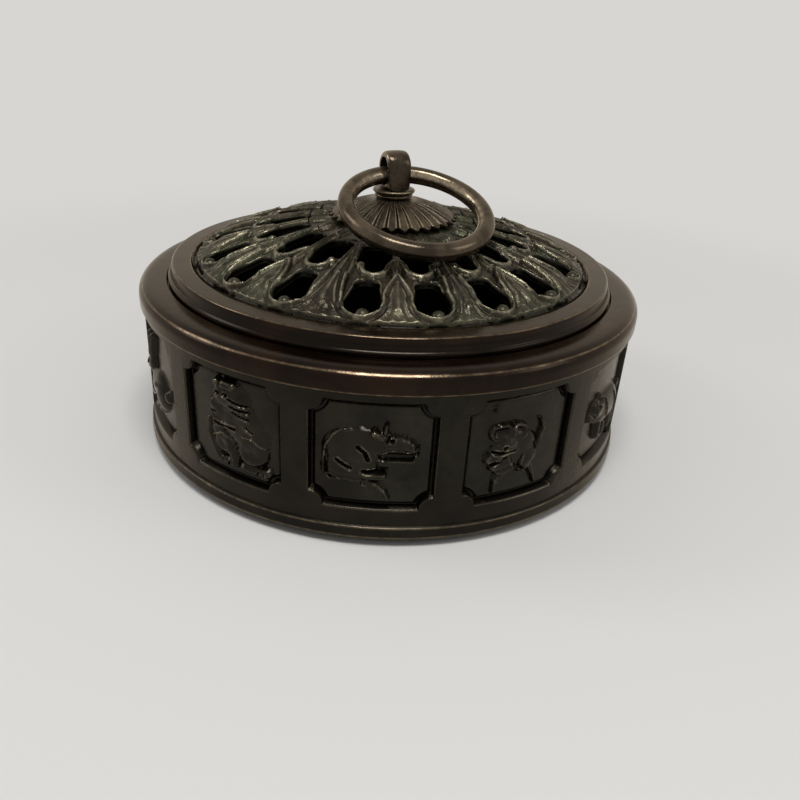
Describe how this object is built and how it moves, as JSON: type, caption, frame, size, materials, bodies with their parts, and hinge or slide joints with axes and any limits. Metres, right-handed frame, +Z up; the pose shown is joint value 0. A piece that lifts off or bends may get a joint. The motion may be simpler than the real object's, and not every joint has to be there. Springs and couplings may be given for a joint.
{
  "type": "incense burner",
  "caption": "Low round bronze incense burner: drum bowl with framed animal reliefs, rolled shoulder, pierced domed lid, fluted boss and loose ring in an upright eye.",
  "frame": {"origin": "centre of the foot's contact ring, on the plane that the burner stands on", "axes": "+Z up along the axis of the drum; -Y towards the panel with the ox, which faces the front; +X to the right seen from the front"},
  "size_m": [0.15, 0.15, 0.0844],
  "materials": {
    "dark_bronze": "satin, nearly black patina",
    "bronze": "satin dark brown patina",
    "patina_bronze": "satin brown with grey-green patina",
    "worn_bronze": "smooth handled brown bronze"
  },
  "bodies": {
    "bowl": {"foot_ring": "dark_bronze", "base_plate": "dark_bronze", "bowl_wall": "dark_bronze", "shoulder_rim": "bronze", "panel_rat": "dark_bronze", "panel_ox": "dark_bronze", "panel_tiger": "dark_bronze", "panel_rabbit": "dark_bronze", "panel_dragon": "dark_bronze", "panel_snake": "dark_bronze", "panel_horse": "dark_bronze", "panel_goat": "dark_bronze", "panel_monkey": "dark_bronze", "panel_rooster": "dark_bronze", "panel_dog": "dark_bronze", "panel_pig": "dark_bronze"},
    "lid": {"lid_frame": "bronze", "lid_openwork": "patina_bronze", "lid_flange": "bronze", "boss": "patina_bronze", "collar": "bronze"},
    "eye": {"ring_eye": "bronze", "eye_washer": "bronze"},
    "ring": {"ring": "worn_bronze"}
  },
  "joints": [
    {"name": "lid_lift", "type": "slide", "parent": "bowl", "child": "lid", "axis": [0, 0, 1], "range_m": [0, 0.06]},
    {"name": "eye_turn", "type": "hinge", "parent": "lid", "child": "eye", "pos_m": [0, 0, 0.07362], "axis": [0, 0, 1], "continuous": true},
    {"name": "ring_swing", "type": "hinge", "parent": "eye", "child": "ring", "pos_m": [0, 0, 0.07762], "axis": [-0.9336, -0.3584, 0], "range_deg": [0, 217.5]}
  ]
}
